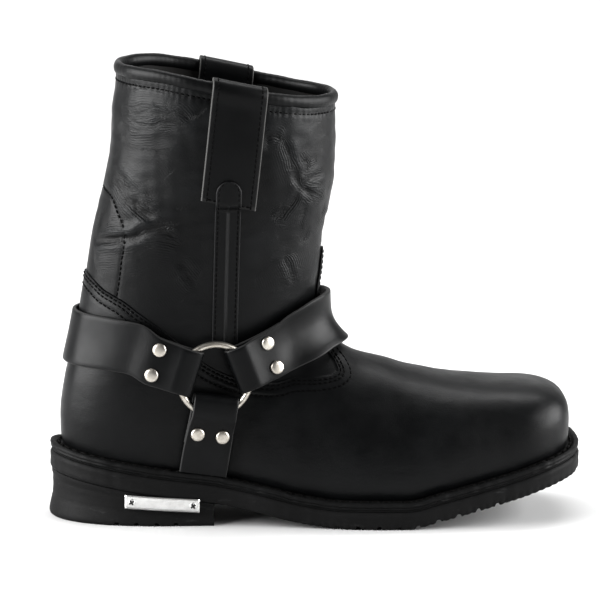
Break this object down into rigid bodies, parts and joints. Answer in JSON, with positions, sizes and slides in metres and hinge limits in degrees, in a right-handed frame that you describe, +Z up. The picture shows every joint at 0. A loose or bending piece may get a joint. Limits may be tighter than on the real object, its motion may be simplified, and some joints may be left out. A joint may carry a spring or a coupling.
{
  "type": "harness boot",
  "caption": "Pull-on harness boot for the right foot: hollow leather shaft and vamp on a welted lug sole with a stacked heel, and riveted straps that meet at a ring on each side.",
  "frame": {"origin": "on the floor under the middle of the boot's box", "axes": "+X to the toe, +Y to the inner side of the foot, -Y to the outer side, +Z up"},
  "size_m": [0.315, 0.1076, 0.2685],
  "materials": {
    "black_leather": "smooth black leather with a satin shine",
    "strap_leather": "thicker black strap leather with rolled edges",
    "black_rubber": "matte black rubber",
    "insole_board": "dull brown insole board",
    "antique_nickel": "antique nickel, brushed and slightly worn"
  },
  "bodies": {
    "root": {"upper": "black_leather", "collar_roll": "black_leather", "insole": "insole_board", "welt": "black_rubber", "outsole": "black_rubber", "heel": "black_rubber", "vamp_tongue": "black_leather", "rear_strap": "strap_leather", "front_strap": "strap_leather", "low_strap_outer": "strap_leather", "low_strap_inner": "strap_leather", "ring_outer": "antique_nickel", "ring_inner": "antique_nickel", "pull_strap_outer": "strap_leather", "pull_strap_inner": "strap_leather", "seam_tape_outer": "black_leather", "seam_tape_inner": "black_leather", "rivet_rear_outer_1": "antique_nickel", "rivet_rear_outer_2": "antique_nickel", "rivet_rear_inner_1": "antique_nickel", "rivet_rear_inner_2": "antique_nickel", "rivet_front_outer_1": "antique_nickel", "rivet_front_outer_2": "antique_nickel", "rivet_front_inner_1": "antique_nickel", "rivet_front_inner_2": "antique_nickel", "rivet_low_outer_1": "antique_nickel", "rivet_low_outer_2": "antique_nickel", "rivet_low_inner_1": "antique_nickel", "rivet_low_inner_2": "antique_nickel", "badge_plate": "antique_nickel", "badge_screw_1": "antique_nickel", "badge_screw_2": "antique_nickel"}
  },
  "joints": []
}
